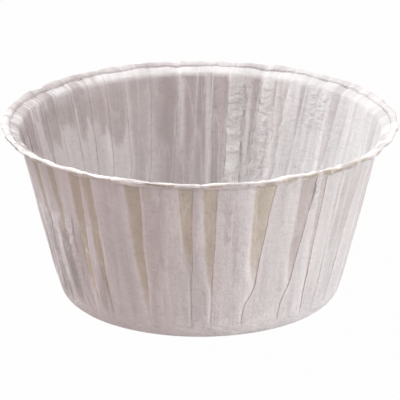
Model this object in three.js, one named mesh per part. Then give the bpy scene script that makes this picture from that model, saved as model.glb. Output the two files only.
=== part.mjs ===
// A cupcake liner with a rolled rim, pressed from one round blank of greaseproof paper.
// Millimetres, +Z up. The origin is the middle of the underside, and the front is towards -Y.
//
// The paper follows one profile: flat floor, round heel, leaning wall, flared lip and a rim rolled outwards.
// A flat blank is longer round its edge than the cup is, so the spare paper is laid in knife pleats.
// Going round the cup, the paper sinks into a strip, runs behind the next panel to the tuck, folds back to
// that panel's edge and folds again into the panel. The pleats start at the heel and end in the rolled rim.
import * as THREE from "three";

// Driving dimensions of the cup
const rimDiameter = 70;
const baseDiameter = 50;
const height = 32.2;
const heelRadius = 3;
const lipWidth = 2.6;
const lipRise = THREE.MathUtils.degToRad(30);
const rollRadius = 0.4;
const rollTurn = THREE.MathUtils.degToRad(215);
const rollTail = 0.2;

// Driving dimensions of the paper and of its folds
const paperThickness = 0.12;
const wallFoldGap = 0.12;
const rimFoldGap = 0.03;
const stripShoulder = 0.8;
const closedStrip = 1;
const panelCrown = 0.12;
// Share of a tuck in which the crease holds the two layers together
const creaseShare = 0.6;

// Steps along the profile: round the heel, heights on the wall between heel and lip, and round the roll
const heelSteps = 3;
const wallHeights = [6, 9, 12, 17, 23.5];
const rollSteps = 4;

// Heights between which some pleats' edges bend sideways, in mm
const bendFoot = 7;
const bendTop = 12;

// The pleats, anticlockwise seen from above, with angles in degrees from the front. Each row has the panel's
// edge at the lip, the strip's width there, the panel's edge at the heel and the height where the strip closes.
// Where a pleat's edge bends, the last value is the part of its slant that the bend takes.
const pleatTable = [
  [-63, 4, -60, 22],
  [-53, 4.3, -51, 19],
  [-41.7, 4.2, -43, 15],
  [-36.7, 3.4, -35.5, 11],
  [-18.6, 4.2, -19.8, 7],
  [-2.2, 4.4, -3.4, 8],
  [5.6, 4.2, 4, 9],
  [24, 6.5, 16, 10, 3.2],
  [39, 5.5, 31.5, 10, 2.4],
  [43, 1.6, 43.3, 7],
  [51.5, 1, 50, 16],
  [63.5, 6.3, 57, 8],
  [75, 4, 71, 9],
  [83, 2.5, 82, 14],
  [91, 3, 90, 12],
  [98, 2.5, 98.5, 15],
  [104.5, 2.5, 106, 12],
  [111, 2.5, 113, 14],
  [119, 2, 120, 12],
  [123.5, 1.8, 126, 14],
  [131, 3.5, 134, 10],
  [140.5, 3, 142, 13],
  [145.8, 2.5, 148, 12],
  [153, 3, 154, 9],
  [165.5, 5.5, 166, 8],
  [174.5, 3, 173, 10],
  [179, 2, 179.5, 13],
  [184, 2, 186, 14],
  [191.5, 3, 193, 10],
  [201.5, 3.5, 202.5, 11],
  [210.5, 3, 209, 12],
  [217, 2.5, 216, 14],
  [225, 3, 223, 13],
  [232.5, 3, 229, 12],
  [240, 3, 237, 14],
  [247.5, 3, 246, 15],
  [255, 2.5, 254, 13],
  [262.5, 3, 262, 16],
  [270, 2.5, 271, 14],
  [278.5, 3, 279, 15],
  [287, 3, 288.5, 17],
];

const halfPaper = paperThickness / 2;
const fullTurn = 2 * Math.PI;
const { degToRad, lerp } = THREE.MathUtils;

// The middle of the outermost layer, in the plane of radius and height, from the floor to the cut edge
function cupProfile() {
  const layersOverRoll = 2 * (paperThickness + rimFoldGap) + halfPaper;
  const rollCentre = new THREE.Vector2(
    rimDiameter / 2 - rollRadius - layersOverRoll,
    height - rollRadius - layersOverRoll,
  );
  const lipDirection = new THREE.Vector2(Math.cos(lipRise), Math.sin(lipRise));
  const lipEnd = new THREE.Vector2(-lipDirection.y, lipDirection.x)
    .multiplyScalar(rollRadius)
    .add(rollCentre);
  const wallTop = lipEnd.clone().addScaledVector(lipDirection, -lipWidth / lipDirection.x);

  const heelCentre = new THREE.Vector2(baseDiameter / 2 - heelRadius, heelRadius);
  const heelMiddle = heelRadius - halfPaper;
  const heelToLip = wallTop.clone().sub(heelCentre);
  const wallStart = heelToLip.angle() - Math.acos(heelMiddle / heelToLip.length());

  const rollStart = lipRise + Math.PI / 2;
  const rollEnd = rollStart - rollTurn;
  const tail = new THREE.Vector2(Math.sin(rollEnd), -Math.cos(rollEnd)).multiplyScalar(rollTail);

  const floor = new THREE.LineCurve(
    new THREE.Vector2(0, halfPaper),
    new THREE.Vector2(heelCentre.x, halfPaper),
  );
  const heel = arc(heelCentre, heelMiddle, -Math.PI / 2, wallStart, false);
  const wall = new THREE.LineCurve(heel.getPoint(1), wallTop);
  const lip = new THREE.LineCurve(wallTop, lipEnd);
  const roll = arc(rollCentre, rollRadius, rollStart, rollEnd, true);
  const cutEdge = new THREE.LineCurve(roll.getPoint(1), roll.getPoint(1).add(tail));
  return { floor, heel, wall, lip, roll, cutEdge };
}

function arc(centre, radius, from, to, clockwise) {
  return new THREE.EllipseCurve(centre.x, centre.y, radius, radius, from, to, clockwise);
}

// Stations along the profile, from the floor's edge to the cut edge
function profileStations() {
  const { floor, heel, wall, lip, roll, cutEdge } = cupProfile();
  const wallStep = paperThickness + wallFoldGap;
  const rimStep = paperThickness + rimFoldGap;
  const wallShares = wallHeights.map((z) => (z - wall.v1.y) / (wall.v2.y - wall.v1.y));
  const stations = [
    ...alongCurve(floor, [1]),
    ...alongCurve(heel, evenShares(heelSteps)),
    ...alongCurve(wall, wallShares, wallStep),
    lipCrease(wall, lip, rimStep),
    ...alongCurve(lip, [1], rimStep),
    ...alongCurve(roll, evenShares(rollSteps), rimStep),
    ...alongCurve(cutEdge, [1], rimStep),
  ];

  // How far each station lies along the flat blank, and how far up from the heel to the lip
  let blankRadius = 0;
  let last = { radius: 0, height: halfPaper };
  for (const station of stations) {
    blankRadius += Math.hypot(station.radius - last.radius, station.height - last.height);
    station.blankRadius = blankRadius;
    const climb = (station.height - wall.v1.y) / (wall.v2.y - wall.v1.y);
    station.climb = THREE.MathUtils.clamp(climb, 0, 1);
    last = station;
  }
  return stations;
}

function alongCurve(curve, shares, layerStep = 0) {
  return shares.map((share) => {
    const { x: radius, y: height } = curve.getPoint(share);
    const along = curve.getTangent(share);
    return { radius, height, normal: new THREE.Vector2(along.y, -along.x), layerStep };
  });
}

// The crease between wall and lip, whose normal is stretched so that both sides keep their thickness
function lipCrease(wall, lip, layerStep) {
  const [wallNormal, lipNormal] = [wall, lip].map((line) => {
    const along = line.getTangent(0);
    return new THREE.Vector2(along.y, -along.x);
  });
  const normal = wallNormal.clone().add(lipNormal).normalize();
  normal.divideScalar(normal.dot(wallNormal));
  return { radius: wall.v2.x, height: wall.v2.y, normal, layerStep };
}

function evenShares(steps) {
  return Array.from({ length: steps }, (_, step) => (step + 1) / steps);
}

// The pleats at one station, as angles: where the strip starts, the panel's edge and the end of the tuck.
// The tucks share out the blank's spare length by the widths of the panels that cover them.
function pleatsAt({ radius, height: z, blankRadius, climb }) {
  const bent = THREE.MathUtils.smoothstep(z, bendFoot, bendTop);
  const pleats = pleatTable.map(([lipEdge, stripWidth, heelEdge, closesAt, bend = 0]) => {
    const open = Math.max(0, (climb * height - closesAt) / (height - closesAt));
    const edge = degToRad(lerp(heelEdge, lipEdge - bend, climb) + bend * bent);
    return { edge, stripStart: edge - closedStrip / radius - open * degToRad(stripWidth) };
  });
  pleats.forEach((pleat, index) => {
    const isLast = index === pleats.length - 1;
    pleat.panelEnd = pleats[(index + 1) % pleats.length].stripStart + (isLast ? fullTurn : 0);
  });
  const panelSum = pleats.reduce((sum, { edge, panelEnd }) => sum + panelEnd - edge, 0);
  const spareTurn = (Math.PI * (blankRadius - radius)) / radius;
  for (const pleat of pleats)
    pleat.tuck = (pleat.panelEnd - pleat.edge) * (spareTurn / panelSum);
  return pleats;
}

// One ring of the paper at a folded station. Each column is a pair of places, on the outside and inside faces
// of the paper, written as [angle, level], where level is the distance from the profile along its normal.
function foldedColumns(station) {
  const { radius, layerStep } = station;
  const shoulder = stripShoulder / radius;
  const bluntTip = halfPaper / radius;
  return pleatsAt(station).flatMap(({ stripStart, edge, tuck, panelEnd }) => {
    const crease = tuck * creaseShare;
    return [
      flatPair(stripStart, 0),
      flatPair(stripStart + shoulder, -2 * layerStep),
      [[edge + tuck - crease, -1.5 * layerStep], [edge + tuck + bluntTip, -1.5 * layerStep]],
      [[edge - bluntTip, -0.5 * layerStep], [edge + crease, -0.5 * layerStep]],
      flatPair((edge + panelEnd) / 2, panelCrown),
    ];
  });
}

// The same columns where the paper is smooth: the strip and the panel of each pleat keep one column each
function smoothColumns(station) {
  return pleatsAt(station).flatMap(({ stripStart, edge }) => {
    const strip = flatPair(stripStart, 0);
    const panel = flatPair(edge, 0);
    return [strip, strip, panel, panel, panel];
  });
}

function flatPair(angle, level) {
  return [[angle, level + halfPaper], [angle, level - halfPaper]];
}

// The liner as one closed skin: out from the middle of the floor to the cut edge, and back inside
function linerGeometry() {
  const points = [];
  const keep = (x, y, z) => points.push(x, y, z) / 3 - 1;

  function ring(station, columns, side) {
    const known = new Map();
    return columns.map((column) => {
      if (!known.has(column)) {
        const [angle, level] = column[side];
        const radius = station.radius + station.normal.x * level;
        const z = station.height + station.normal.y * level;
        known.set(column, keep(radius * Math.sin(angle), -radius * Math.cos(angle), z));
      }
      return known.get(column);
    });
  }

  const sections = profileStations().map((station) => [
    station,
    station.layerStep ? foldedColumns(station) : smoothColumns(station),
  ]);
  const [outside, inside] = [0, 1].map((side) =>
    sections.map(([station, columns]) => ring(station, columns, side)),
  );
  const columnCount = outside[0].length;
  const floorMiddle = (z) => new Array(columnCount).fill(keep(0, 0, z));
  const rings = [
    floorMiddle(0),
    ...outside,
    ...inside.reverse(),
    floorMiddle(paperThickness),
  ];
  return new THREE.BufferGeometry()
    .setAttribute("position", new THREE.Float32BufferAttribute(points, 3))
    .setIndex(joinRings(rings));
}

// Faces between neighbouring rings. Columns that share a point leave a triangle, or nothing.
function joinRings(rings) {
  const faces = [];
  for (let level = 1; level < rings.length; level++) {
    const [lower, upper] = [rings[level - 1], rings[level]];
    lower.forEach((a, column) => {
      const next = (column + 1) % lower.length;
      const [b, c, d] = [lower[next], upper[next], upper[column]];
      for (const corners of [[a, b, c], [a, c, d]])
        if (new Set(corners).size === 3) faces.push(...corners);
    });
  }
  return faces;
}

const greaseproofPaper = new THREE.MeshStandardMaterial({
  color: 0xe9e5e2,
  roughness: 0.8,
  metalness: 0,
  flatShading: true,
});

const bakingCup = new THREE.Mesh(linerGeometry(), greaseproofPaper);
bakingCup.name = "baking_cup";

const cupcakeLiner = new THREE.Group();
cupcakeLiner.add(bakingCup);

export default cupcakeLiner;
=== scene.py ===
"""A cupcake liner of pleated greaseproof paper with a rolled rim, on a plain white table.

The paper is laid out in millimetres as one sheet, from the middle of the floor to the cut edge inside the
roll, with every knife pleat folded as an S. Geometry Nodes press waves and puckers into it.
"""

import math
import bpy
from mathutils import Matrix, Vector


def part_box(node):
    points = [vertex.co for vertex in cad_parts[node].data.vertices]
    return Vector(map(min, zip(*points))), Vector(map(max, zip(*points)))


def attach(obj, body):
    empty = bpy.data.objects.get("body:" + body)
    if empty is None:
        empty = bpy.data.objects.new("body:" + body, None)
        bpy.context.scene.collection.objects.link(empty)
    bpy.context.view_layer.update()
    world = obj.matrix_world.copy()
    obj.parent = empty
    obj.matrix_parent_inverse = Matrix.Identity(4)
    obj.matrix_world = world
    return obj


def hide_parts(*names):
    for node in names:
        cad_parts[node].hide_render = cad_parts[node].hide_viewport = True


bl_info = {
    "name": "Cupcake liner",
    "version": (1, 0, 0),
    "blender": (4, 5, 0),
    "location": "3D View > Sidebar > Liner",
    "description": "Builds a pleated paper baking cup with a rolled rim, and a plain studio round it",
    "category": "Add Mesh",
}

from collections import namedtuple

import bpy
import numpy as np
from bpy.props import FloatProperty, FloatVectorProperty, IntProperty, PointerProperty

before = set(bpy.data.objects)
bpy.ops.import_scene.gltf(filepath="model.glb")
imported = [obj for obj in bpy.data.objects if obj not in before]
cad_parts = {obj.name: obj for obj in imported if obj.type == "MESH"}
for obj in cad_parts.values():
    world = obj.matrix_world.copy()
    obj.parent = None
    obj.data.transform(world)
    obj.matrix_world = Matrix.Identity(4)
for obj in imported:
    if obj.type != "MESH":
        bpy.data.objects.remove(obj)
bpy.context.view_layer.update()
CUP = "baking_cup"
CUP_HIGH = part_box(CUP)[1]
MM = 0.001

# The pleats, anticlockwise seen from above, with angles in degrees from the front: the panel's edge at the
# lip, the strip's width there, the panel's edge at the heel, the height in mm where the strip closes, and
# how many degrees of the edge's slant are taken up in one bend low on the wall
Pleat = namedtuple("Pleat", "lip_edge strip heel_edge closes bend", defaults=(0,))
PLEATS = [
    Pleat(*row)
    for row in (
        (-63, 4, -60, 18),
        (-52.3, 3.6, -50.5, 14),
        (-40.4, 4, -43, 3),
        (-35.8, 3.4, -35.7, 2),
        (-18.6, 4.6, -19.8, 3.5),
        (-2.2, 4.4, -3.4, 12),
        (5.6, 4.2, 4, 9),
        (24, 6.5, 16, 10, 2.6),
        (39, 5.5, 31.5, 8.5, 2),
        (43, 1.6, 43.3, 7),
        (51.5, 1, 50, 16),
        (63.5, 6.3, 58.5, 11),
        (75, 4, 72, 14),
        (83, 2.5, 82, 18),
        (91, 3, 90, 14),
        (98, 2.5, 98.5, 15),
        (104.5, 2.5, 106, 12),
        (111, 2.5, 113, 14),
        (119, 2, 120, 12),
        (123.5, 1.8, 126, 14),
        (131, 3.5, 134, 10),
        (140.5, 3, 142, 13),
        (145.8, 2.5, 148, 12),
        (153, 3, 154, 9),
        (165.5, 5.5, 166, 8),
        (174.5, 3, 173, 10),
        (179, 2, 179.5, 13),
        (184, 2, 186, 14),
        (191.5, 3, 193, 10),
        (201.5, 3.5, 202.5, 11),
        (210.5, 3, 209, 12),
        (217, 2.5, 216, 14),
        (225, 3, 223, 13),
        (232.5, 3, 229, 12),
        (240, 3, 237, 14),
        (247.5, 3, 246, 15),
        (255, 2.5, 254, 13),
        (262.5, 3, 262, 16),
        (270, 2.5, 271, 14),
        (278.5, 3, 279, 15),
        (287, 3, 288.5, 17),
    )
]

# Creases inside the panels: angle, highest and lowest point in mm, and height in mm, negative for a valley
CREASES = (
    (-64.6, 29, 6, 0.16),
    (-59.2, 24, 5, 0.24),
    (-56.6, 17, 4, 0.26),
    (-54, 14, 4, 0.24),
    (-48.6, 18, 4, 0.3),
    (-46.9, 10, 3, 0.24),
    (-40.2, 13, 3, 0.26),
    (-33.6, 13, 4, -0.14),
    (-31.5, 12, 3, 0.2),
    (-26, 24, 8, 0.09),
    (-13.6, 28, 9, 0.1),
    (-12.2, 26, 11, -0.07),
    (10, 30, 16, 0.09),
    (28.5, 9, 3, -0.08),
    (49.8, 28, 20, -0.07),
    (163, 28, 9, 0.16),
    (169, 28, 12, -0.12),
    (196, 29, 12, 0.1),
    (200, 28, 14, 0.08),
    (217, 28, 17, -0.1),
    (252, 27, 10, 0.1),
)

# Patches of small level puckers: first and last angle, lowest and highest point in mm, and height in mm
PUCKERS = (
    (-66, -60, 8, 22, 0.14),
    (-53.5, -47.5, 7, 21, 0.24),
    (-30, -26, 23, 29, 0.12),
    (-12, -8, 21, 27, 0.05),
    (12, 17, 12, 27, 0.05),
    (38.5, 41, 24, 29.5, 0.2),
    (133, 140, 23, 30, 0.16),
    (154, 159, 7, 29.5, 0.22),
    (164.5, 170.5, 7, 29.5, 0.24),
    (222, 232, 12, 22, 0.08),
    (262, 268, 6, 20, 0.08),
    (300, 306, 6, 20, 0.08),
)

# Patches of close upright creases: first and last angle, lowest and highest point in mm, and strength
# These patches also get painted highlights along their creases and painted shade between them
CREASED = (
    (-75, -52, 3, 20, 0.65),
    (-50, -37, 3, 18, 0.5),
    (60, 110, 2, 24, 0.2),
    (128, 175, 6, 30, 0.25),
    (250, 330, 3, 20, 0.4),
)

# Bands of tan painted shade on the outside beside a crease: first and last angle, lowest and highest point in
# mm, and strength
CREASE_SHADE_BANDS = (
    (-18, -14.8, 10, 31, 0.42),
    (-8.4, -6.4, 15, 31, 0.25),
    (6.5, 8, 10, 24, 0.2),
)

# Painted shade where the inside looks darker, as more plies lie behind it and let less light through: angles,
# heights in mm, and strength
PLY_SHADE_ZONES = (
    (-75, -62, 14, 34, 0.5),
    (-52, -40, 16, 34, 0.6),
    (-30, -12, 12, 34, 0.5),
    (2, 12, 10, 34, 0.7),
    (22, 38, 15, 34, 0.5),
    (52, 60, 8, 34, 0.6),
    (74, 82, 12, 34, 0.4),
    (98, 104, 10, 34, 0.35),
    (114, 118, 8, 34, 0.3),
    (126, 131, 6, 34, 0.45),
    (141, 144, 5, 30.1, 0.4),
    (149, 153, 5, 30.1, 0.45),
    (159, 162.5, 4, 30.1, 0.9),
    (170.5, 176.5, 3, 30.1, 1),
    (178, 185.5, 3, 30.1, 1),
    (187, 194, 3, 30.1, 1),
    (194, 205.5, 8, 30.1, 0.6),
    (206, 219, 21, 30.1, 0.7),
    (220, 246.5, 23, 30.1, 0.72),
    (252.5, 283, 23.5, 30.1, 0.88),
    (215, 292, 30.2, 40, 0.85),
)

# Places where the rolled rim is nipped: angle, half width in degrees and how deep, from 0 to 1
NIPS = (
    (-70, 2.5, 0.9),
    (-52, 1.5, 0.5),
    (-27.5, 2, 0.8),
    (-16, 1.2, 0.5),
    (-5, 1.2, 0.5),
    (2, 1.8, 0.9),
    (20, 1.2, 0.4),
    (37, 1.5, 0.7),
    (52, 1.8, 0.9),
    (66, 2, 0.9),
    (90, 2.5, 0.8),
    (121, 1.5, 0.5),
    (158, 1.5, 0.6),
    (188, 1.5, 0.4),
    (213, 1.5, 0.5),
    (237, 1.5, 0.6),
    (262, 2, 0.8),
    (281, 2, 0.6),
)


class PaperSheetSettings(bpy.types.PropertyGroup):
    """Sizes of the cup and its paper, in millimetres where no unit is shown"""

    base_diameter: FloatProperty(
        name="Base diameter", description="Across the top of the round heel, in mm", default=50, min=10
    )
    heel_radius: FloatProperty(
        name="Heel radius", description="Bend from the floor to the wall, in mm", default=3, min=0.5
    )
    lip_width: FloatProperty(
        name="Lip width", description="From the wall to the middle of the roll, in mm", default=2.1, min=0.1
    )
    lip_rise: FloatProperty(
        name="Lip rise", description="Slope of the lip", default=math.radians(30), subtype="ANGLE"
    )
    roll_width: FloatProperty(
        name="Roll width", description="Width of the flattened roll, in mm", default=1.5, min=0.4
    )
    roll_height: FloatProperty(
        name="Roll height", description="Height of the flattened roll, in mm", default=0.85, min=0.2
    )
    roll_stand: FloatProperty(
        name="Roll stand", description="How far the roll stands proud of the lip, in mm", default=0.09, min=0
    )
    roll_turn: FloatProperty(
        name="Roll turn", description="How far the rim rolls", default=math.radians(285), subtype="ANGLE"
    )
    thickness: FloatProperty(
        name="Paper thickness", description="One layer of paper, in mm", default=0.06, min=0.02
    )
    wall_step: FloatProperty(
        name="Layer step on the wall", description="Between a pleat's layers, in mm", default=0.1, min=0.05
    )
    rim_step: FloatProperty(
        name="Layer step at the rim", description="Between a pleat's layers, in mm", default=0.065, min=0.03
    )
    shoulder: FloatProperty(
        name="Strip shoulder", description="Width of a strip's soft side, in mm", default=0.7, min=0.1
    )
    panel_crown: FloatProperty(
        name="Panel crown", description="How far a wide panel bulges, in mm", default=0.22, min=0
    )
    wave_height: FloatProperty(
        name="Wave height", description="Slow waves over the wall, in mm", default=0.8, min=0
    )
    wave_size: FloatProperty(
        name="Wave size", description="Width of the slow waves, in mm", default=9, min=1
    )
    pucker_spacing: FloatProperty(
        name="Pucker spacing", description="Between two level puckers, in mm", default=2.4, min=0.5
    )
    crumple_height: FloatProperty(
        name="Crumple height", description="Fine unevenness all over, in mm", default=0.25, min=0
    )
    seed: IntProperty(name="Seed", description="Seed of the waves and puckers", default=7)


class PaperFinishSettings(bpy.types.PropertyGroup):
    """Colours of the greaseproof paper"""

    paper_colour: FloatVectorProperty(
        name="Paper", description="Bare paper", subtype="COLOR", size=3,
        default=(0.9, 0.888, 0.886),
    )
    # Painted shade in the recessed strips: tan in front, greyer on the right
    strip_shade_colour: FloatVectorProperty(
        name="Strip", description="Sunk strips", subtype="COLOR", size=3,
        default=(0.705, 0.655, 0.56),
    )
    side_strip_shade_colour: FloatVectorProperty(
        name="Side strip", description="Sunk strips on the right", subtype="COLOR", size=3,
        default=(0.69, 0.645, 0.625),
    )
    # Painted shade where three layers of paper let less light through
    ply_shade_colour: FloatVectorProperty(
        name="Folded paper", description="Three layers deep", subtype="COLOR", size=3,
        default=(0.625, 0.573, 0.575),
    )
    # Painted shade below the roll's crest
    hem_shade_colour: FloatVectorProperty(
        name="Hem", description="Below the crest of the roll", subtype="COLOR", size=3,
        default=(0.55, 0.495, 0.39),
    )
    # Painted highlight along folds and the roll's crest
    fold_highlight_colour: FloatVectorProperty(
        name="Fold edge", description="Folds and the crest of the roll", subtype="COLOR", size=3,
        default=(1, 0.99, 0.97),
    )
    # Painted highlight along fine upright creases
    crease_highlight_colour: FloatVectorProperty(
        name="Crease", description="Fine upright creases", subtype="COLOR", size=3,
        default=(1, 0.99, 0.98),
    )
    translucency: FloatProperty(
        name="Translucency", description="Share of light that passes a face", default=0.16, min=0, max=1,
        subtype="FACTOR",
    )


class StudioSettings(bpy.types.PropertyGroup):
    """Camera, lamps and table"""

    camera_distance: FloatProperty(
        name="Camera distance", description="From the middle of the base", default=0.5994, unit="LENGTH"
    )
    camera_elevation: FloatProperty(
        name="Camera elevation", description="Above the table", default=math.radians(21.22), subtype="ANGLE"
    )
    focal_pixels: FloatProperty(
        name="Focal length in pixels", description="For a picture 400 pixels wide", default=3350.3
    )
    base_row: FloatProperty(
        name="Base row", description="Picture row of the base's middle, of 400", default=289.55
    )
    ambient: FloatProperty(
        name="Ambient light", description="Strength of the pale surroundings", default=0.64, min=0
    )
    overhead_power: FloatProperty(
        name="Overhead lamp", description="Power of the lamp above on the left", default=6.4, unit="POWER"
    )
    side_power: FloatProperty(
        name="Side lamp", description="Power of the low lamp on the right", default=3.9, unit="POWER"
    )


def smooth_step(low, high, value):
    share = np.clip((value - low) / (high - low), 0, 1)
    return share * share * (3 - 2 * share)


def bell(value, middle, half_width):
    return np.exp(-(((value - middle) / half_width) ** 2))


def angle_gap(angle, middle):
    """The signed gap between two angles in degrees, between -180 and 180"""
    return (angle - middle + 180) % 360 - 180


def rough_line(angle, seed, terms=24, rolloff=0.55):
    """A smooth irregular line round the cup, about -1 to 1, the same on each run"""
    draw = np.random.default_rng(seed)
    line = np.zeros_like(angle)
    for count in range(2, 2 + terms):
        size = count**-rolloff
        line += size * draw.normal() * np.sin(np.radians(angle) * count * 3 + draw.uniform(0, 2 * np.pi))
    return line / 3


def ribbon(angle):
    """The roll's twist, -1 to 1, and swelling, 0 to 1: each stretch grows and slips under the next one"""
    shortest, longest, last_start = 6, 17, 352
    draw = np.random.default_rng(5)
    edges = np.cumsum(draw.uniform(shortest, longest, 40))
    edges = edges[edges < last_start]
    ends = np.append(edges, 360)
    starts = np.insert(edges, 0, 0)
    sizes = draw.uniform(0.35, 1, starts.size)
    ways = np.where(draw.uniform(0, 1, starts.size) < 0.75, 1, -1)
    place = angle % 360
    index = np.clip(np.searchsorted(ends, place), 0, ends.size - 1)
    share = (place - starts[index]) / (ends[index] - starts[index])
    share = np.where(ways[index] > 0, share, 1 - share)
    fade = smooth_step(0, 0.12, share) * (1 - smooth_step(0.9, 1, share))
    swell = sizes[index] * share**0.7 * fade
    return sizes[index] * (share - 0.5) * 2 * fade, swell


class CupProfile:
    """The cup's section, in mm, sampled as rows from the floor's middle to the cut edge inside the roll"""

    heel_rows = 5
    wall_rows = 38
    lip_rows = 5
    roll_rows = 9

    # Two close rows hold the crease between the wall and the lip. There the outward direction dips.
    crease_rows = [("wall", 0.992), ("lip", 0.05)]
    crease_dip = 0.4

    # The roll starts this far round its own middle. Its front is raised by a little, in mm, which fades
    # out over an angle in degrees.
    roll_start = math.radians(150)
    front_rise = 0.2
    front_half_turn = 55

    # How uneven the roll is: slopes in radians, width and height as shares, and places in mm
    twist_slope = 0.3
    uneven_slope = 0.12
    uneven_width = 0.15
    nipped_width = 0.25
    thin_height = 0.75
    swollen_height = 0.7
    uneven_height = 0.13
    nipped_height = 0.35
    fuller_height = 0.3
    uneven_radius = 0.12
    nipped_radius = 0.22
    uneven_z = 0.1
    nipped_z = 0.16
    swollen_z = 0.06
    lip_bulge = 0.1

    def __init__(self, settings):
        self.settings = settings
        self.rim_radius = max(CUP_HIGH[0], CUP_HIGH[1]) / MM
        self.height = CUP_HIGH[2] / MM
        self.half_paper = settings.thickness / 2
        stack = 2 * settings.rim_step + self.half_paper
        rise = settings.lip_rise
        along, across = settings.roll_width / 2, settings.roll_height / 2
        reach = math.hypot(along * math.cos(rise), across * math.sin(rise))
        top = math.hypot(along * math.sin(rise), across * math.cos(rise))
        self.roll_centre = np.array([self.rim_radius - reach - stack, self.height - top - stack])
        across -= settings.roll_stand
        lip_end = self.roll_centre + across * np.array([-math.sin(rise), math.cos(rise)])
        self.lip_foot = lip_end - settings.lip_width * np.array([1, math.tan(rise)])
        heel = settings.heel_radius
        self.heel_centre = np.array([settings.base_diameter / 2 - heel, heel])
        self.heel_middle = heel - self.half_paper
        across, up = self.lip_foot - self.heel_centre
        self.wall_angle = math.atan2(up, across) - math.acos(self.heel_middle / math.hypot(across, up))
        self.wall_foot = self.heel_centre + self.heel_middle * np.array(
            [math.cos(self.wall_angle), math.sin(self.wall_angle)]
        )

    def rows(self):
        """(kind, share along that stretch) for each row"""
        rows = [("floor", 0.5), ("floor", 1)]
        rows += [("heel", (row + 1) / self.heel_rows) for row in range(self.heel_rows)]
        rows += [("wall", (row + 1) / self.wall_rows) for row in range(self.wall_rows - 1)]
        rows += self.crease_rows
        rows += [("lip", (row + 1) / self.lip_rows) for row in range(self.lip_rows)]
        return rows + [("roll", (row + 1) / self.roll_rows) for row in range(self.roll_rows)]

    def place(self, kind, share, angle):
        """Radius, height, and the outward normal's two parts, for an array of angles in degrees"""
        one = np.ones_like(angle)
        if kind == "floor":
            return self.heel_centre[0] * share * one, self.half_paper * one, 0 * one, -one
        if kind == "heel":
            turn = -math.pi / 2 + (self.wall_angle + math.pi / 2) * share
            radius = self.heel_centre[0] + self.heel_middle * math.cos(turn)
            z = self.heel_centre[1] + self.heel_middle * math.sin(turn)
            return radius * one, z * one, math.cos(turn) * one, math.sin(turn) * one
        if kind == "wall":
            radius, z = self.wall_foot + share * (self.lip_foot - self.wall_foot)
            dip = smooth_step(0.96, 1.0, share) * self.crease_dip
            across, up = math.cos(self.wall_angle), math.sin(self.wall_angle)
            return radius * one, z * one, across * one, (up - dip) * one
        return self.rim_place(kind, share, angle)

    def rim_place(self, kind, share, angle):
        """The lip and the flattened roll, which twists like a ribbon and is nipped where pleats cross it"""
        settings = self.settings
        nips = (depth * bell(angle_gap(angle, middle), 0, width) for middle, width, depth in NIPS)
        nip = np.clip(sum(nips), 0, 1)
        twist, swell = ribbon(angle)
        rise = settings.lip_rise + self.twist_slope * twist + self.uneven_slope * rough_line(angle, seed=14)
        width = 1 + self.uneven_width * rough_line(angle, seed=12) - self.nipped_width * nip
        along = settings.roll_width / 2 * width
        height = self.thin_height + self.swollen_height * swell
        height = height + self.uneven_height * rough_line(angle, seed=16, terms=60, rolloff=0.35)
        height = height - self.nipped_height * nip
        across = settings.roll_height / 2 * (height + self.fuller_height * self.fuller_rim(angle))
        centre_radius = self.roll_centre[0] - self.uneven_radius * np.abs(rough_line(angle, seed=11))
        centre_radius = centre_radius - self.nipped_radius * nip
        centre_z = self.roll_centre[1] + self.uneven_z * rough_line(angle, seed=13)
        centre_z = centre_z - self.nipped_z * nip - self.swollen_z * swell
        centre_z = centre_z + self.front_rise * bell(angle_gap(angle, 0), 0, self.front_half_turn)
        slope_cos, slope_sin = np.cos(rise), np.sin(rise)
        turn = np.full_like(angle, self.roll_start)
        if kind == "roll":
            turn -= settings.roll_turn * share
        side, up = along * np.cos(turn), across * np.sin(turn)
        radius = centre_radius + side * slope_cos - up * slope_sin
        z = centre_z + side * slope_sin + up * slope_cos
        if kind == "roll":
            side, up = -np.cos(turn) / along, -np.sin(turn) / across
            size = np.hypot(side, up)
            side, up = side / size, up / size
            return radius, z, side * slope_cos - up * slope_sin, side * slope_sin + up * slope_cos
        radius = self.lip_foot[0] + share * (radius - self.lip_foot[0])
        z = self.lip_foot[1] + share * (z - self.lip_foot[1])
        groove = settings.roll_stand * np.clip(0.15 + rough_line(angle, seed=17), 0, 1)
        z = z + self.lip_bulge * math.sin(math.pi * share) - groove * bell(share, 0.93, 0.07)
        rise = settings.lip_rise
        return radius, z, math.sin(rise) * np.ones_like(angle), -math.cos(rise) * np.ones_like(angle)

    @staticmethod
    def fuller_rim(angle):
        """1 where the roll is fuller, with less painted highlight on its crest and more painted shade below
        it, on the front right, and 0 elsewhere
        """
        return bell(angle_gap(angle, 40), 0, 24)

    def climb(self, z):
        """0 at the foot of the wall and 1 at the foot of the lip"""
        return np.clip((z - self.wall_foot[1]) / (self.lip_foot[1] - self.wall_foot[1]), 0, 1)


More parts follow.
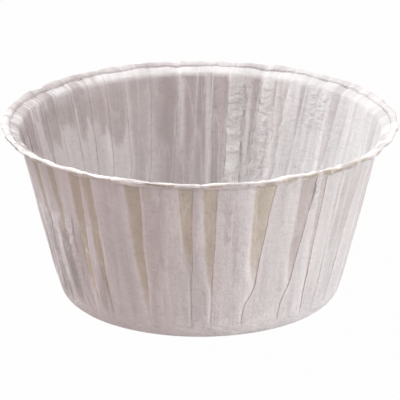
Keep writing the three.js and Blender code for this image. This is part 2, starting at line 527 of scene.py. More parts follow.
class PleatedSheet:
    """The paper's middle surface as rows and columns, with each pleat folded as an S"""

    mask_names = ("sunk_shade", "ply_shade", "fold_highlight", "pucker", "creased", "hem_shade")

    # In degrees: the spacing of the columns over panels and strips, the width of the narrowest panel that
    # has the full crown, and the half widths of the painted highlight at a pleat's edge and of a crease
    panel_pitch = 1.05
    strip_pitch = 1.3
    full_crown_width = 8
    fold_highlight_half_width = 0.42
    crease_half_width = 0.85

    # In mm: the width of a closed strip, and from a fold to its nearest column
    closed_strip = 0.6
    fold_gap = 0.12

    # Columns on a strip's soft side
    shoulder_columns = 4

    # The tuck behind a panel reaches over this share of it, above the foot of the wall
    tuck_reach = 0.88

    # How far pleats stand out, as a share of the layer step: in general, and between two angles
    firm = 0.85
    softer = ((45, 110, 0.45), (186, 285, 0.62))

    # A pleat stands out by this share at its foot, and by this share more on the wall where its strip is
    # closed. In front the pleats lose some of it near the rim.
    foot_relief = 0.2
    closed_relief = 0.6
    front_angles = (-66, 110)
    rim_loss = 0.65

    # How far the folds stray, in mm: from row to row, slowly, and as a share of the puckers they cross
    jitter = 0.02
    drift = 0.07
    pucker_share = 0.7
    rows_per_drift = 6

    # The strips' painted shade is full round the middle angle, and has this share at the sides and behind
    strip_shade_middle = -8
    side_strip_shade = 0.55

    def __init__(self, settings):
        self.settings = settings
        self.profile = CupProfile(settings)
        self.draw = np.random.default_rng(settings.seed)
        widths = self.panel_widths()
        self.panel_columns = [max(4, round(width / self.panel_pitch)) for width in widths]
        self.strip_columns = [max(2, round(pleat.strip / self.strip_pitch)) for pleat in PLEATS]
        self.wobble = self.edge_wobble()
        self.firmness = [self.firmness_at(pleat.lip_edge) * self.draw.uniform(0.7, 1.15) for pleat in PLEATS]
        self.crowns = [
            settings.panel_crown * min(1.0, width / self.full_crown_width) * self.draw.uniform(-0.35, 1)
            for width in widths
        ]
        self.build()

    @staticmethod
    def panel_widths():
        """Each panel's width at the lip, in degrees"""
        starts = [pleat.lip_edge - pleat.strip for pleat in PLEATS]
        starts.append(starts[0] + 360)
        return [starts[index + 1] - pleat.lip_edge for index, pleat in enumerate(PLEATS)]

    def edge_wobble(self):
        """How far each pleat's edge strays from its line at each row, in mm: most where the paper is
        puckered, but not on the front left, where the folds run true"""
        rows = len(self.profile.rows())
        wobble = self.jitter * self.draw.normal(size=(rows, len(PLEATS)))
        knots = np.arange(0, rows + self.rows_per_drift, self.rows_per_drift)
        z = np.arange(rows) / rows * self.profile.height
        for index, pleat in enumerate(PLEATS):
            slow = np.interp(np.arange(rows), knots, self.draw.normal(size=knots.size))
            wobble[:, index] += self.drift * slow
            if pleat.lip_edge < 0:
                continue
            for first, last, bottom, top, height in PUCKERS:
                if abs(angle_gap(pleat.lip_edge + 1, (first + last) / 2)) < (last - first) / 2 + 2.5:
                    inside = smooth_step(bottom - 2, bottom + 2, z)
                    inside = inside * (1 - smooth_step(top, top + 3, z))
                    wobble[:, index] += self.pucker_share * height * inside * self.draw.normal(size=rows)
        return wobble

    def firmness_at(self, lip_edge):
        for first, last, firmness in self.softer:
            if first < lip_edge < last:
                return firmness
        return self.firm

    def relief(self, index, z):
        """A pleat stands out less below the height where its strip closes, and at the front near the rim"""
        pleat = PLEATS[index]
        low = self.foot_relief + self.closed_relief * float(smooth_step(2, 8, z))
        part = low + (1 - low) * float(smooth_step(pleat.closes - 4, pleat.closes + 5, z))
        first, last = self.front_angles
        if first < pleat.lip_edge < last:
            part *= 1 - self.rim_loss * float(smooth_step(9, 18, z))
        return self.firmness[index] * part

    def layer_step(self, kind, share):
        """Between two layers of a pleat, in mm: closer together from the top of the wall on"""
        settings = self.settings
        if kind in ("lip", "roll"):
            return settings.rim_step
        nearing = float(smooth_step(0.9, 1, share)) if kind == "wall" else 0
        return settings.wall_step + (settings.rim_step - settings.wall_step) * nearing

    def pleat_lines(self, row, climb, z, radius, blank):
        """Strip start, panel edge, tuck end and panel end of each pleat at one height, in degrees"""
        height = self.profile.height
        lines = []
        for pleat, stray in zip(PLEATS, self.wobble[row]):
            opened = max(0.0, (climb * height - pleat.closes) / (height - pleat.closes))
            edge = pleat.heel_edge + (pleat.lip_edge - pleat.heel_edge - pleat.bend) * climb
            edge += pleat.bend * float(smooth_step(6, 10.5, z))
            edge += math.degrees(stray / radius) * float(smooth_step(3, 8, z))
            lines.append((edge - math.degrees(self.closed_strip / radius) - opened**0.5 * pleat.strip, edge))
        starts = [start for start, _ in lines]
        starts.append(starts[0] + 360)
        panels = [starts[index + 1] - edge for index, (_, edge) in enumerate(lines)]
        spare = 180 * (blank - radius) / radius / sum(panels)
        share = spare + (self.tuck_reach - spare) * float(smooth_step(0.02, 0.12, climb))
        return [
            (start, edge, edge + share * panel, edge + panel) for (start, edge), panel in zip(lines, panels)
        ]

    def folded_section(self, index, start, edge, tuck, end, step, radius, crown):
        """One pleat's columns: angle, level, the masks of the recessed strip's painted shade and of the
        plies' painted shade, and the mask of the painted highlight at the pleat's edge
        """
        degree = math.degrees(1 / radius)
        half, near, middle = step / 2 * degree, self.fold_gap * degree, (edge + tuck) / 2

        shares = np.linspace(0, 1, self.shoulder_columns + 1)[:-1]
        shoulder_end = min(start + self.settings.shoulder * degree, start + 0.7 * (edge - start))
        slope = smooth_step(0, 1, shares)
        shoulder = (start + shares * (shoulder_end - start), -2 * step * slope, slope, slope, 0 * shares)

        shares = np.linspace(0, 1, self.strip_columns[index] + 1)[:-1]
        one = np.ones_like(shares)
        strip = (shoulder_end + shares * (edge - shoulder_end), -2 * step * one, one, one, 0 * one)

        below, above = tuck - near, edge + near
        hidden = (
            np.array([edge, middle, below, tuck + half, below, middle, above, edge - half]),
            np.array([-2, -2, -2, -1.5, -1, -1, -1, -0.5]) * step,
            np.array([1, 0.8, 0, 0, 0, 0, 0, 0]),
            np.array([1, 1, 1, 0.5, 0, 0, 0, 0]),
            np.array([0, 0, 0.3, 1, 0.3, 0, 0.3, 1]),
        )

        shares = np.linspace(0, 1, self.panel_columns[index] + 1)[:-1]
        bulge = self.crowns[index] * crown * np.sin(np.pi * shares)
        # Painted highlight along the pleat's edge
        pale = bell(shares * (end - edge), 0, self.fold_highlight_half_width)
        panel = (above + shares * (end - above), bulge, 0 * shares, 0 * shares, pale)
        return [np.concatenate(parts) for parts in zip(shoulder, strip, hidden, panel)]

    def build(self):
        """Lays the rows out, each with its points, outward directions and masks"""
        profile = self.profile
        places, outward, masks = [], [], []
        blank = last_radius = 0.0
        last_z = profile.half_paper
        for row, (kind, share) in enumerate(profile.rows()):
            radius, z = (float(part[0]) for part in profile.place(kind, share, np.zeros(1))[:2])
            blank += math.hypot(radius - last_radius, z - last_z)
            last_radius, last_z = radius, z
            climb = 1.0 if kind in ("lip", "roll") else float(profile.climb(z))
            folded = float(climb > 0)
            if kind == "wall":
                folded = float(smooth_step(-0.2, 1.3, z - profile.wall_foot[1]))
            step = self.layer_step(kind, share)
            crown = math.sin(math.pi * climb**1.3) + 0.15 * climb
            lines = self.pleat_lines(row, climb, z, radius, blank)
            section = [
                self.folded_section(index, *line, step * self.relief(index, z), radius, crown)
                for index, line in enumerate(lines)
            ]
            angle, level, *shown = (np.concatenate(part) for part in zip(*section))
            flat = [self.unfold(part[0], part[0][0], line[3]) for part, line in zip(section, lines)]
            flat = np.concatenate(flat)
            angle = flat + (angle - flat) * folded
            level = level * folded + self.crease_level(kind, angle, z)
            radius, height, side, up = profile.place(kind, share, angle)
            places.append(self.to_points(radius + side * level, height + up * level, angle))
            outward.append(self.to_points(side, up, angle))
            strip_shade = self.strip_shade_share([part[0].size for part in section], climb)
            row_masks = self.row_masks(kind, share, z, angle, strip_shade, *shown)
            row_masks[:3] *= folded
            masks.append(row_masks)
        self.points = np.array(places)
        self.outward = np.array(outward)
        self.masks = np.array(masks)

    def row_masks(self, kind, share, z, angle, strip_shade, strip, ply_shade, fold_highlight):
        """The masks of one row, in the order of their names"""
        ragged = 2 * rough_line(angle, seed=21, terms=60, rolloff=0.25)
        # Painted shade in the recessed strips and in the bands beside creases
        sunk_shade = np.maximum(strip * strip_shade, self.zone_mask(CREASE_SHADE_BANDS, angle, z, ragged) * (kind == "wall"))
        # Painted shade on the inside where plies are stacked
        ply_shade = self.zone_mask(PLY_SHADE_ZONES, angle, z, ragged, 0.35) * (0.7 + 0.3 * ply_shade)
        pucker, creased = self.zone_mask(PUCKERS, angle, z), self.zone_mask(CREASED, angle, z)
        hem_shade = np.zeros_like(angle)
        if kind == "roll":
            ply_shade, fold_highlight, hem_shade = self.roll_masks(share, angle, fold_highlight)
            pucker = pucker + 0.1
        return np.stack([sunk_shade, ply_shade, fold_highlight, pucker, creased, hem_shade])

    def roll_masks(self, share, angle, fold_highlight):
        """The roll has a painted highlight along its crest and patchy tan painted shade below it in front,
        and painted shade behind and on the left
        """
        front = 1 - smooth_step(75, 115, np.abs(angle_gap(angle, 0)))
        full = self.profile.fuller_rim(angle)
        # Painted highlight along the roll's crest, strongest in front
        crest = bell(share, 0.35, 0.18) * np.clip(1.3 + 0.6 * rough_line(angle, seed=31), 0, 1.6)
        fold_highlight = np.maximum(fold_highlight, crest * (0.15 + 0.85 * front) * (1 - 0.5 * full))
        # Patchy tan painted shade below the crest, in front
        hem_shade = np.clip(0.3 + 1.7 * rough_line(angle, seed=32, terms=40, rolloff=0.3) + 0.55 * full, 0, 1)
        hem_shade *= bell(share, 0.62, 0.14 + 0.07 * full)
        # Painted shade on the roll behind and on the left
        left = 0.5 - 0.5 * np.sin(np.radians(angle))
        ply_shade = np.clip(0.1 + 0.85 * left + 0.4 * rough_line(angle, seed=33), 0, 1) * (1 - front)
        return ply_shade, fold_highlight, hem_shade

    @staticmethod
    def unfold(angle, start, end):
        """The same columns spread in order over a smooth stretch of paper"""
        ordered = np.maximum.accumulate(angle)
        spread = np.linspace(start, end, angle.size, endpoint=False)
        return 0.92 * ordered + 0.08 * spread

    @staticmethod
    def to_points(radius, z, angle):
        """Points, or directions, from their part away from the cup's axis and their part upwards"""
        turn = np.radians(angle)
        return np.stack([radius * np.sin(turn), -radius * np.cos(turn), z], axis=1)

    def crease_level(self, kind, angle, z):
        """How far the creases lift the wall, in mm"""
        level = np.zeros_like(angle)
        if kind == "wall":
            for middle, top, bottom, height in CREASES:
                along = smooth_step(bottom, bottom + 3, z) * (1 - smooth_step(top - 2, top + 1, z))
                level += height * along * bell(angle_gap(angle, middle), 0, self.crease_half_width)
        return level

    @staticmethod
    def zone_mask(zones, angle, z, ragged=0.0, fade=1.0):
        """Each zone's strength inside its angles and heights, with soft sides and a ragged lower edge"""
        mask = np.zeros_like(angle)
        for first, last, bottom, top, strength in zones:
            gap = np.abs(angle_gap(angle, (first + last) / 2))
            inside = smooth_step(-0.4, 0.5, (last - first) / 2 - gap)
            above = smooth_step(bottom - fade, bottom + 2 * fade, z - ragged)
            mask += strength * inside * above * (1 - smooth_step(top - fade, top + fade, z))
        return mask

    def strip_shade_share(self, sizes, climb):
        """The strips' painted shade is full at the lip and fades where they close, and is strongest at the
        front
        """
        strip_shades = []
        for pleat in PLEATS:
            closes = pleat.closes / self.profile.height
            aside = smooth_step(50, 66, abs(angle_gap(pleat.lip_edge, self.strip_shade_middle)))
            full = 1 - (1 - self.side_strip_shade) * aside
            strip_shades.append(full * smooth_step(closes - 0.12, closes + 0.25, climb))
        return np.repeat(strip_shades, sizes)

    def mesh(self, name):
        """The middle surface as a mesh in metres, with its masks and outward directions as attributes"""
        rows, columns = self.points.shape[:2]
        vertices = np.concatenate([[[0, 0, self.profile.half_paper]], self.points.reshape(-1, 3)]) * MM
        column = np.arange(columns)
        following = (column + 1) % columns
        faces = [np.stack([np.zeros(columns, int), 1 + following, 1 + column], axis=1).tolist()]
        for row in range(rows - 1):
            low, high = 1 + row * columns, 1 + (row + 1) * columns
            corners = [low + column, low + following, high + following, high + column]
            faces.append(np.stack(corners, axis=1).tolist())
        mesh = bpy.data.meshes.new(name)
        mesh.from_pydata(vertices.tolist(), [], [face for part in faces for face in part])
        masks = self.masks.transpose(0, 2, 1).reshape(-1, len(self.mask_names))
        masks = np.concatenate([0 * masks[:1], masks])
        for mask_name, mask in zip(self.mask_names, masks.T):
            mesh.attributes.new(mask_name, "FLOAT", "POINT").data.foreach_set("value", mask.copy())
        outward = np.concatenate([[[0, 0, -1]], self.outward.reshape(-1, 3)])
        mesh.attributes.new("outward", "FLOAT_VECTOR", "POINT").data.foreach_set("vector", outward.ravel())
        return mesh


class NodeTree:
    """A short way to add nodes to a tree and join them"""

    def __init__(self, tree):
        self.tree = tree
        self.tree.nodes.clear()

    def add(self, kind, values=None, **properties):
        node = self.tree.nodes.new(kind)
        for name, value in properties.items():
            setattr(node, name, value)
        for socket, value in (values or {}).items():
            if isinstance(value, bpy.types.NodeSocket):
                self.tree.links.new(value, node.inputs[socket])
            else:
                node.inputs[socket].default_value = value
        return node

    def math(self, operation, first, second=0.0, third=None, clamp=False):
        values = {0: first, 1: second}
        if third is not None:
            values[2] = third
        kind = "ShaderNodeMath"
        return self.add(kind, values, operation=operation, use_clamp=clamp).outputs[0]

    def product(self, first, *others):
        for other in others:
            first = self.math("MULTIPLY", first, other)
        return first

    def scaled(self, value, factor, shift):
        """The value times the factor, plus the shift"""
        return self.math("MULTIPLY_ADD", value, factor, shift)

    def vector(self, operation, first, second):
        socket = "Scale" if operation == "SCALE" else 1
        return self.add("ShaderNodeVectorMath", {0: first, socket: second}, operation=operation).outputs[0]

    def map_range(self, value, source, target=(0, 1), **properties):
        """The value carried over from one range to another and kept inside it"""
        values = {"Value": value, "From Min": source[0], "From Max": source[1]}
        values.update({"To Min": target[0], "To Max": target[1]})
        return self.add("ShaderNodeMapRange", values, **properties).outputs["Result"]


def pressed_paper_tree():
    """Geometry Nodes that press slow waves and level puckers into the folded sheet"""
    tree = bpy.data.node_groups.new("Pressed paper", "GeometryNodeTree")
    sockets = {}
    kinds = {"Geometry": "NodeSocketGeometry", "Paper": "NodeSocketMaterial"}
    for name in ("Geometry", "Wave Height", "Wave Size", "Pucker Spacing", "Crumple Height", "Seed", "Paper"):
        kind = kinds.get(name, "NodeSocketFloat")
        sockets[name] = tree.interface.new_socket(name, in_out="INPUT", socket_type=kind).identifier
    tree.interface.new_socket("Geometry", in_out="OUTPUT", socket_type="NodeSocketGeometry")
    nodes = NodeTree(tree)
    inputs = nodes.add("NodeGroupInput").outputs
    place = nodes.add("GeometryNodeInputPosition").outputs[0]
    height = nodes.add("ShaderNodeSeparateXYZ", {0: place}).outputs["Z"]

    def attribute(name, kind="FLOAT"):
        return nodes.add("GeometryNodeInputNamedAttribute", {"Name": name}, data_type=kind).outputs[0]

    def rough(stretch, size, detail):
        stretched = nodes.vector("MULTIPLY", place, stretch)
        scale = nodes.math("DIVIDE", 1.0, size)
        values = {"Vector": stretched, "W": inputs["Seed"], "Scale": scale, "Detail": detail}
        noise = nodes.add("ShaderNodeTexNoise", values, noise_dimensions="4D")
        return nodes.math("SUBTRACT", noise.outputs[0], 0.5)

    off_floor = nodes.map_range(height, (0.5 * MM, 9 * MM), interpolation_type="SMOOTHSTEP")
    below_lip = nodes.map_range(height, (31 * MM, 27 * MM), (0.35, 1), interpolation_type="SMOOTHSTEP")
    slow = rough((1, 1, 0.35), inputs["Wave Size"], 2.0)
    waves = nodes.product(slow, inputs["Wave Height"], off_floor, below_lip)

    level_ridges = nodes.math("ABSOLUTE", rough((0.5, 0.5, 1.4), inputs["Pucker Spacing"], 2.0))
    level_ridges = nodes.scaled(level_ridges, -9.0, 0.7)
    puckers = nodes.product(level_ridges, attribute("pucker"), MM)

    crease = nodes.math("ABSOLUTE", rough((1, 1, 0.3), 4.2 * MM, 2.0))
    crumple = nodes.product(crease, 2.0, inputs["Crumple Height"], off_floor)

    upright = nodes.math("ABSOLUTE", rough((1, 1, 0.1), 4.5 * MM, 1.0))
    upright = nodes.product(upright, attribute("creased"), 2 * MM)

    height_sum = nodes.math("ADD", nodes.math("ADD", waves, puckers), nodes.math("ADD", crumple, upright))
    offset = nodes.vector("SCALE", attribute("outward", "FLOAT_VECTOR"), height_sum)
    moved = nodes.add("GeometryNodeSetPosition", {"Geometry": inputs["Geometry"], "Offset": offset})
    whole = nodes.add("GeometryNodeRealizeInstances", {"Geometry": moved.outputs[0]})
    values = {"Geometry": whole.outputs[0], "Material": inputs["Paper"]}
    finished = nodes.add("GeometryNodeSetMaterial", values)
    nodes.add("NodeGroupOutput", {"Geometry": finished.outputs[0]})
    return tree, sockets


def press_and_thicken(piece, sheet_settings, paper):
    """Runs the tree and gives the paper its thickness, and leaves a plain mesh"""
    tree, sockets = pressed_paper_tree()
    press = piece.modifiers.new("Pressed paper", "NODES")
    press.node_group = tree
    for name, value in (
        ("Wave Height", sheet_settings.wave_height * MM),
        ("Wave Size", sheet_settings.wave_size * MM),
        ("Pucker Spacing", sheet_settings.pucker_spacing * MM),
        ("Crumple Height", sheet_settings.crumple_height * MM),
        ("Seed", float(sheet_settings.seed)),
        ("Paper", paper),
    ):
        press[sockets[name]] = value
    thicken = piece.modifiers.new("Paper thickness", "SOLIDIFY")
    thicken.thickness = sheet_settings.thickness * MM
    thicken.offset = 0
    sheet_size = len(piece.data.vertices)
    evaluated = piece.evaluated_get(bpy.context.evaluated_depsgraph_get())
    mesh = bpy.data.meshes.new_from_object(evaluated)
    piece.modifiers.clear()
    piece.data = mesh
    mesh.shade_smooth()
    keep_painted_shade_on_one_face(mesh, sheet_size)


def keep_painted_shade_on_one_face(mesh, sheet_size):
    """The recessed strips' painted shade is kept on the outside and the plies' painted shade on the inside.
    The mesh holds one face after the other.
    """
    count = len(mesh.vertices)
    if count != 2 * sheet_size:
        raise RuntimeError("the thickened sheet doesn't hold its two faces one after the other")
    places = np.empty(3 * count)
    mesh.vertices.foreach_get("co", places)
    reach = np.hypot(*places.reshape(-1, 3).T[:2])
    first, second = slice(0, sheet_size), slice(sheet_size, count)
    outside, inside = (first, second) if reach[first].sum() > reach[second].sum() else (second, first)
    for name, bare in (("sunk_shade", inside), ("ply_shade", outside)):
        mask = np.empty(count)
        mesh.attributes[name].data.foreach_get("value", mask)
        mask[bare] = 0
        mesh.attributes[name].data.foreach_set("value", mask)


class PaperNodes(NodeTree):
    """The paper's nodes, with patterns that follow the wall. Sizes and heights are in mm."""

    ring_radius = 30

    def __init__(self, tree):
        super().__init__(tree)
        self.true_place = self.add("ShaderNodeTexCoord").outputs["Object"]
        self.sides = self.add("ShaderNodeSeparateXYZ", {0: self.true_place}).outputs
        self.place = self.place_round_the_wall()

    def place_round_the_wall(self):
        """Object coordinates on the floor, and on the wall a ring of one radius with the true height"""
        flat = self.vector("MULTIPLY", self.true_place, (1, 1, 0))
        direction = self.vector("NORMALIZE", flat, (0, 0, 0))
        round_place = self.vector("SCALE", direction, self.ring_radius * MM)
        change = self.vector("SCALE", self.vector("SUBTRACT", round_place, flat), self.by_height(0.5, 3))
        return self.vector("ADD", self.true_place, change)

    def by_height(self, start, end, target=(0, 1)):
        """A value that changes between two heights above the table"""
        return self.map_range(self.sides["Z"], (start * MM, end * MM), target)

    def mask(self, name):
        return self.add("ShaderNodeAttribute", attribute_name=name).outputs["Fac"]

    def rough(self, size, detail=3.0, stretch=(1, 1, 1)):
        stretched = self.vector("MULTIPLY", self.place, stretch)
        values = {"Vector": stretched, "Scale": 1 / (size * MM), "Detail": detail}
        return self.add("ShaderNodeTexNoise", values).outputs[0]

    def ridges(self, size, detail, stretch):
        """0 along the noise's middle lines, rising to both sides of them"""
        return self.math("ABSOLUTE", self.math("SUBTRACT", self.rough(size, detail, stretch), 0.5))

    def patchy(self, name, size, detail, low, high):
        """A mask broken up by noise"""
        noise = self.scaled(self.rough(size, detail), high - low, low)
        return self.math("MULTIPLY", self.mask(name), noise, clamp=True)

    def blend(self, share, first, second):
        """Two colours mixed by a share, each a socket or a colour setting"""
        mix = self.add("ShaderNodeMix", data_type="RGBA")
        for socket, value in zip((0, 6, 7), (share, first, second)):
            if isinstance(value, bpy.types.NodeSocket):
                self.tree.links.new(value, mix.inputs[socket])
            else:
                mix.inputs[socket].default_value = (*value, 1)
        return mix.outputs[2]


def paper_tints(nodes, finish, long_creases):
    """Bare paper, with painted shade where it lies in plies, in the recessed strips and below the roll's
    crest, and painted highlights along its folds and creases
    """
    # Painted shade where plies are stacked
    colour = nodes.blend(nodes.patchy("ply_shade", 3, 2.0, 0.65, 1.35), finish.paper_colour, finish.ply_shade_colour)
    # Painted shade in the recessed strips, tan in front and greyer from 13.3 mm to the right
    on_the_right = nodes.map_range(nodes.sides["X"], (13.3 * MM, 15 * MM))
    strip = nodes.blend(on_the_right, finish.strip_shade_colour, finish.side_strip_shade_colour)
    colour = nodes.blend(nodes.patchy("sunk_shade", 2.5, 3.0, 0.55, 1.35), colour, strip)
    # Painted shade below the roll's crest
    colour = nodes.blend(nodes.mask("hem_shade"), colour, finish.hem_shade_colour)
    # Painted highlight along folds and the roll's crest
    colour = nodes.blend(nodes.patchy("fold_highlight", 0.9, 3.0, 0.2, 1.8), colour, finish.fold_highlight_colour)
    # Painted highlight along creases, mostly in the creased patches
    crease_highlight_nearness = nodes.map_range(long_creases, (0, 0.02), (0.55, 0))
    often = nodes.scaled(nodes.mask("creased"), 0.6, nodes.rough(6, 2.0))
    crease_highlight_share = nodes.math("MULTIPLY", crease_highlight_nearness, often, clamp=True)
    return nodes.blend(crease_highlight_share, colour, finish.crease_highlight_colour)


def paper_mottle(nodes, strands, on_rim):
    """Clouds, grain, upright streaks of painted light and shade, painted highlights along close creases with
    painted shade between them, specks towards the foot and strands along the rim, as one factor
    """
    cloud = nodes.scaled(nodes.rough(5, 4.0, (1, 1, 0.4)), 0.24, 0.88)
    grain = nodes.scaled(nodes.rough(0.5, 4.0, (1, 1, 0.6)), 0.16, 0.92)

    # Upright streaks of painted light and shade, weaker near the foot
    streak_light_and_shade = nodes.math("SUBTRACT", nodes.rough(2.4, 3.0, (1, 1, 0.07)), 0.5)
    streak_light_and_shade = nodes.scaled(streak_light_and_shade, nodes.by_height(1, 5, (0.15, 0.42)), 1)
    # In the creased patches: painted highlights on the crease lines and painted shade between them
    crease_light_and_shade = nodes.map_range(nodes.ridges(2.6, 1.0, (1, 1, 0.08)), (0.01, 0.13), (0.2, -0.08))
    crease_light_and_shade = nodes.scaled(crease_light_and_shade, nodes.mask("creased"), 1)

    specks = nodes.map_range(nodes.rough(0.55, 3.0, (0.45, 0.45, 1.5)), (0.52, 0.72), (0, 0.085))
    specks = nodes.math("SUBTRACT", 1.0, nodes.product(specks, nodes.by_height(9, 1, (1, 1.6))))
    banded = nodes.map_range(strands, (0.36, 0.6), (-0.12, 0.2))
    banded = nodes.scaled(banded, on_rim, 1)
    return nodes.product(cloud, grain, streak_light_and_shade, crease_light_and_shade, specks, banded)


def paper_relief(nodes, long_creases, strands, on_rim):
    """The bump's height: wrinkles, fibres, creases, puckers and strands too fine for the mesh"""
    wrinkles = nodes.product(nodes.ridges(2.1, 3.0, (1, 1, 0.7)), 1.5)
    fibres = nodes.product(nodes.rough(0.4, 3.0, (0.7, 0.7, 1)), 0.4)
    fibres = nodes.scaled(nodes.rough(0.9, 2.0, (0.35, 0.35, 1.4)), 0.5, fibres)
    height = nodes.scaled(long_creases, 2.5, nodes.math("ADD", wrinkles, fibres))
    puckers = nodes.product(nodes.rough(1.5, 3.0, (0.7, 0.7, 1.2)), nodes.mask("pucker"), 22.0)
    close_creases = nodes.product(nodes.ridges(2.4, 2.0, (1, 1, 0.12)), nodes.mask("creased"))
    height = nodes.math("ADD", height, nodes.scaled(close_creases, 17.0, puckers))
    return nodes.scaled(strands, nodes.product(on_rim, 3.0), height)


def greaseproof_paper(finish):
    """White greaseproof paper: translucent and faintly mottled, with painted shade in the recessed strips,
    where it is folded in plies and below the roll's crest, and painted highlights along folds and creases
    """
    material = bpy.data.materials.new("Greaseproof paper")
    material.use_nodes = True
    nodes = PaperNodes(material.node_tree)
    long_creases = nodes.ridges(3.6, 2.0, (1, 1, 0.1))
    strands = nodes.rough(0.45, 2.0, (0.14, 0.14, 1))
    at_front = nodes.map_range(nodes.sides["Y"], (4 * MM, -12 * MM))
    on_rim = nodes.product(nodes.by_height(29.9, 30.4), at_front)

    colour = paper_tints(nodes, finish, long_creases)
    colour = nodes.vector("SCALE", colour, paper_mottle(nodes, strands, on_rim))
    values = {"Strength": 0.9, "Distance": 0.2 * MM}
    values["Height"] = paper_relief(nodes, long_creases, strands, on_rim)
    bump = nodes.add("ShaderNodeBump", values).outputs[0]
    face = nodes.add(
        "ShaderNodeBsdfPrincipled",
        {"Base Color": colour, "Roughness": 0.62, "Specular IOR Level": 0.3, "Normal": bump},
    )
    glow = nodes.add("ShaderNodeBsdfTranslucent", {"Color": colour, "Normal": bump})
    both = nodes.add("ShaderNodeMixShader", {0: finish.translucency, 1: face.outputs[0], 2: glow.outputs[0]})
    nodes.add("ShaderNodeOutputMaterial", {"Surface": both.outputs[0]})
    return material


def seen_directly(nodes):
    """1 for rays that should meet the plain white background: from the camera, a gloss or a clear body"""
    rays = nodes.add("ShaderNodeLightPath").outputs
    glossy_too = nodes.math("ADD", rays["Is Camera Ray"], rays["Is Glossy Ray"])
    return nodes.math("ADD", glossy_too, rays["Is Transmission Ray"], clamp=True)


def table_material():
    """A white table that stays white to the camera and keeps a soft shadow. To the cup it glows faintly pink,
    as painted bounce light that brightens the heel.
    """
    material = bpy.data.materials.new("White table")
    material.use_nodes = True
    nodes = NodeTree(material.node_tree)
    glow_share, shadow_share = 0.37, 0.02
    matt = nodes.add("ShaderNodeBsdfDiffuse", {"Color": (0.36, 0.29, 0.285, 1)})
    # Painted bounce light: the table glows to all rays but the camera's
    lit = nodes.add("ShaderNodeEmission", {"Color": (0.76, 0.65, 0.64, 1), "Strength": 1.0})
    pale = nodes.add("ShaderNodeMixShader", {0: glow_share, 1: matt.outputs[0], 2: lit.outputs[0]})
    white = nodes.add("ShaderNodeEmission", {"Color": (1, 1, 1, 1), "Strength": 1.0})
    share = nodes.product(seen_directly(nodes), 1 - shadow_share)
    both = nodes.add("ShaderNodeMixShader", {0: share, 1: pale.outputs[0], 2: white.outputs[0]})
    nodes.add("ShaderNodeOutputMaterial", {"Surface": both.outputs[0]})
    return material


def pale_surroundings(strength):
    """A faintly pink room round the cup, and plain white where the camera sees it"""
    world = bpy.data.worlds.new("Pale studio")
    world.use_nodes = True
    nodes = NodeTree(world.node_tree)
    room = nodes.add("ShaderNodeBackground", {"Color": (1.0, 0.84, 0.83, 1), "Strength": strength})
    white = nodes.add("ShaderNodeBackground", {"Color": (1, 1, 1, 1), "Strength": 1.0})
    values = {0: seen_directly(nodes), 1: room.outputs[0], 2: white.outputs[0]}
    both = nodes.add("ShaderNodeMixShader", values)
    nodes.add("ShaderNodeOutputWorld", {"Surface": both.outputs[0]})
    bpy.context.scene.world = world


def add_object(name, data):
    piece = bpy.data.objects.new(name, data)
    bpy.context.scene.collection.objects.link(piece)
    return piece


def add_lamp(name, azimuth, elevation, size, power):
    """A soft lamp aimed at the cup's middle. Azimuth is anticlockwise from the front, in degrees."""
    distance = 0.9
    cool_white = (0.9, 0.98, 1)
    lamp = bpy.data.lights.new(name, "AREA")
    lamp.shape = "RECTANGLE"
    lamp.size, lamp.size_y = size
    lamp.energy = power
    lamp.color = cool_white
    piece = add_object(name, lamp)
    turn, rise = math.radians(azimuth), math.radians(elevation)
    flat = distance * math.cos(rise)
    middle = CUP_HIGH[2] / 2
    piece.location = (flat * math.sin(turn), -flat * math.cos(turn), middle + distance * math.sin(rise))
    piece.rotation_euler = (math.pi / 2 - rise, 0, turn)


class LINER_OT_fold_paper(bpy.types.Operator):
    """Folds the sheet of greaseproof paper into the pleated cup with its rolled rim"""

    bl_idname = "liner.fold_paper"
    bl_label = "Fold the paper cup"

    def execute(self, context):
        scene = context.scene
        cup = add_object("paper_cup", PleatedSheet(scene.liner_sheet).mesh("Paper cup"))
        press_and_thicken(cup, scene.liner_sheet, greaseproof_paper(scene.liner_finish))
        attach(cup, "root")
        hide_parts(CUP)
        return {"FINISHED"}


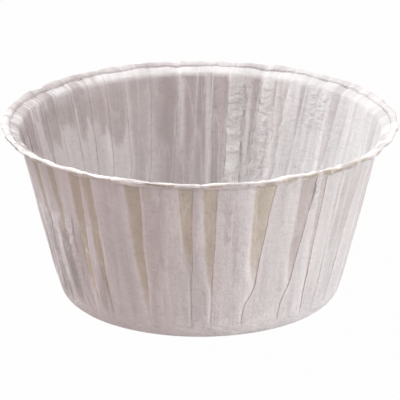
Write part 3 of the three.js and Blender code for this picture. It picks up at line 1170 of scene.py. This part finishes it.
class LINER_OT_set_studio(bpy.types.Operator):
    """Sets the table, the surroundings, the lamps and the camera"""

    bl_idname = "liner.set_studio"
    bl_label = "Set the studio"

    def execute(self, context):
        studio = context.scene.liner_studio
        self.set_table()
        pale_surroundings(studio.ambient)
        add_lamp("Overhead lamp", azimuth=252, elevation=57, size=(0.4, 0.4), power=studio.overhead_power)
        add_lamp("Side lamp", azimuth=72, elevation=2.5, size=(0.6, 0.07), power=studio.side_power)
        self.set_camera(context.scene, studio)
        context.scene.view_settings.view_transform = "Standard"
        return {"FINISHED"}

    @staticmethod
    def set_table():
        half, gap_below_cup = 1.5, 0.05 * MM
        corners = [(-half, -half, 0), (half, -half, 0), (half, half, 0), (-half, half, 0)]
        mesh = bpy.data.meshes.new("Table")
        mesh.from_pydata(corners, [], [(0, 1, 2, 3)])
        mesh.materials.append(table_material())
        table = add_object("table", mesh)
        table.location.z = -gap_below_cup

    @staticmethod
    def set_camera(scene, studio):
        picture_size = 400
        camera = bpy.data.cameras.new("Camera")
        camera.sensor_width = 36
        camera.lens = studio.focal_pixels / picture_size * camera.sensor_width
        camera.clip_end = 10
        piece = add_object("Camera", camera)
        rise = studio.camera_elevation
        distance = studio.camera_distance
        piece.location = (0, -distance * math.cos(rise), distance * math.sin(rise))
        aim_up = math.atan((studio.base_row - picture_size / 2) / studio.focal_pixels)
        piece.rotation_euler = (math.pi / 2 - rise + aim_up, 0, 0)
        scene.camera = piece


class LINER_PT_sidebar(bpy.types.Panel):
    """Lists the cup's steps and settings"""

    bl_label = "Cupcake liner"
    bl_space_type = "VIEW_3D"
    bl_region_type = "UI"
    bl_category = "Liner"

    def draw(self, context):
        scene = context.scene
        for operator in (LINER_OT_fold_paper, LINER_OT_set_studio):
            self.layout.operator(operator.bl_idname)
        for settings in (scene.liner_sheet, scene.liner_finish, scene.liner_studio):
            box = self.layout.box()
            for name in settings.__annotations__:
                box.prop(settings, name)


CLASSES = (
    PaperSheetSettings,
    PaperFinishSettings,
    StudioSettings,
    LINER_OT_fold_paper,
    LINER_OT_set_studio,
    LINER_PT_sidebar,
)


def register():
    for cls in CLASSES:
        bpy.utils.register_class(cls)
    bpy.types.Scene.liner_sheet = PointerProperty(type=PaperSheetSettings)
    bpy.types.Scene.liner_finish = PointerProperty(type=PaperFinishSettings)
    bpy.types.Scene.liner_studio = PointerProperty(type=StudioSettings)


def unregister():
    for name in ("liner_sheet", "liner_finish", "liner_studio"):
        delattr(bpy.types.Scene, name)
    for cls in reversed(CLASSES):
        bpy.utils.unregister_class(cls)


def main():
    register()
    bpy.ops.liner.fold_paper()
    bpy.ops.liner.set_studio()


if __name__ == "__main__":
    main()
